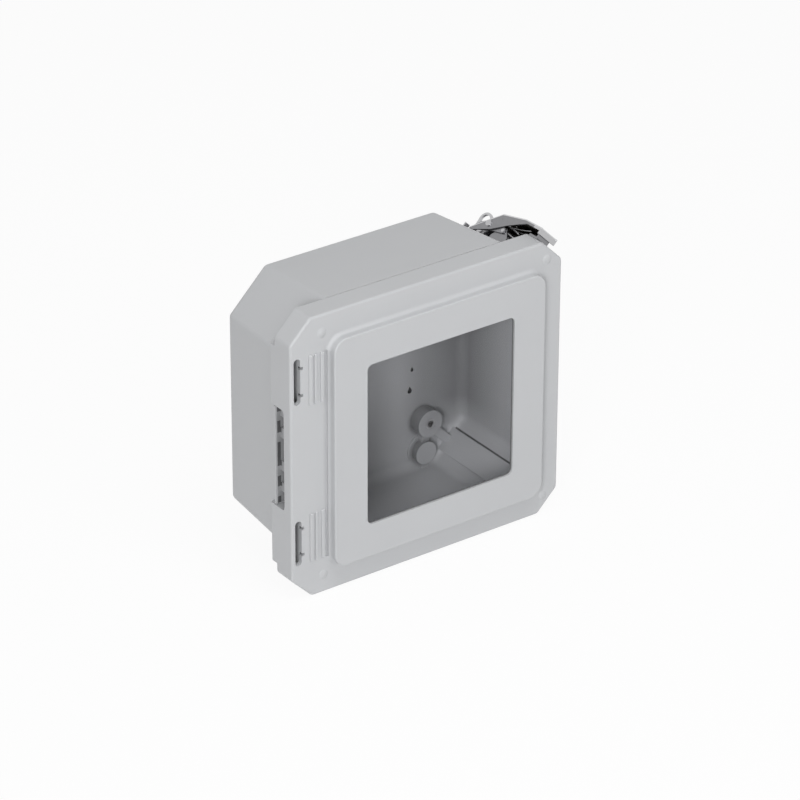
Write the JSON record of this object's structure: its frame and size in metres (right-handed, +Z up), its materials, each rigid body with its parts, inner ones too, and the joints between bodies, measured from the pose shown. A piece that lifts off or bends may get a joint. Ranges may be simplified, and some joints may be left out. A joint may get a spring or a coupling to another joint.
{
  "type": "fiberglass enclosure",
  "caption": "Wall-mount fibreglass box with cut corners, a hinged cover with a raised panel and clear window, and an over-centre draw latch at the top right corner.",
  "frame": {"origin": "middle of the flat mounting face on the back of the box", "axes": "+Y into the wall, +Z up, +X to the right as seen from the front"},
  "size_m": [0.2411, 0.1084, 0.2342],
  "materials": {
    "fibreglass": "fine moulded grey fibreglass, satin",
    "foam": "closed-cell foam",
    "dark_rubber": "smooth",
    "pane": "clear, slightly grey",
    "stainless": "bright pressed stainless",
    "brass": "machined"
  },
  "bodies": {
    "box": {"body": "fibreglass", "latch_base": "stainless", "latch_pivot_pin": "stainless", "latch_spring": "stainless", "hinge_pin_upper": "stainless", "hinge_pin_lower": "stainless", "latch_base_rivet_1": "stainless", "latch_base_rivet_2": "stainless", "latch_base_rivet_3": "stainless", "latch_base_rivet_4": "stainless", "panel_insert_1": "brass", "panel_insert_2": "brass", "panel_insert_3": "brass", "panel_insert_4": "brass", "wall_insert_1": "brass", "wall_insert_2": "brass", "wall_insert_3": "brass", "wall_insert_4": "brass"},
    "cover": {"cover": "fibreglass", "cover_gasket": "foam", "window_gasket": "dark_rubber", "window_pane": "pane", "keeper": "stainless", "keeper_rivet_1": "stainless", "keeper_rivet_2": "stainless"},
    "latch_lever": {"latch_lever": "stainless", "latch_hook_pin": "stainless"},
    "latch_hook": {"latch_hook": "stainless"}
  },
  "joints": [
    {"name": "cover_hinge", "type": "hinge", "parent": "box", "child": "cover", "pos_m": [-0.1156, -0.077, 0], "axis": [0, 0, -1], "range_deg": [0, 110]},
    {"name": "lever_pivot", "type": "hinge", "parent": "box", "child": "latch_lever", "pos_m": [0.10267, -0.0599, 0.10267], "axis": [0.7071, 0, -0.7071], "range_deg": [0, 95]},
    {"name": "hook_pivot", "type": "hinge", "parent": "latch_lever", "child": "latch_hook", "pos_m": [0.10196, -0.0456, 0.10196], "axis": [0.7071, 0, -0.7071], "range_deg": [-95, 0]}
  ],
  "couplings": [
    {"joint": "hook_pivot", "follows": "lever_pivot", "ratio": -1}
  ]
}
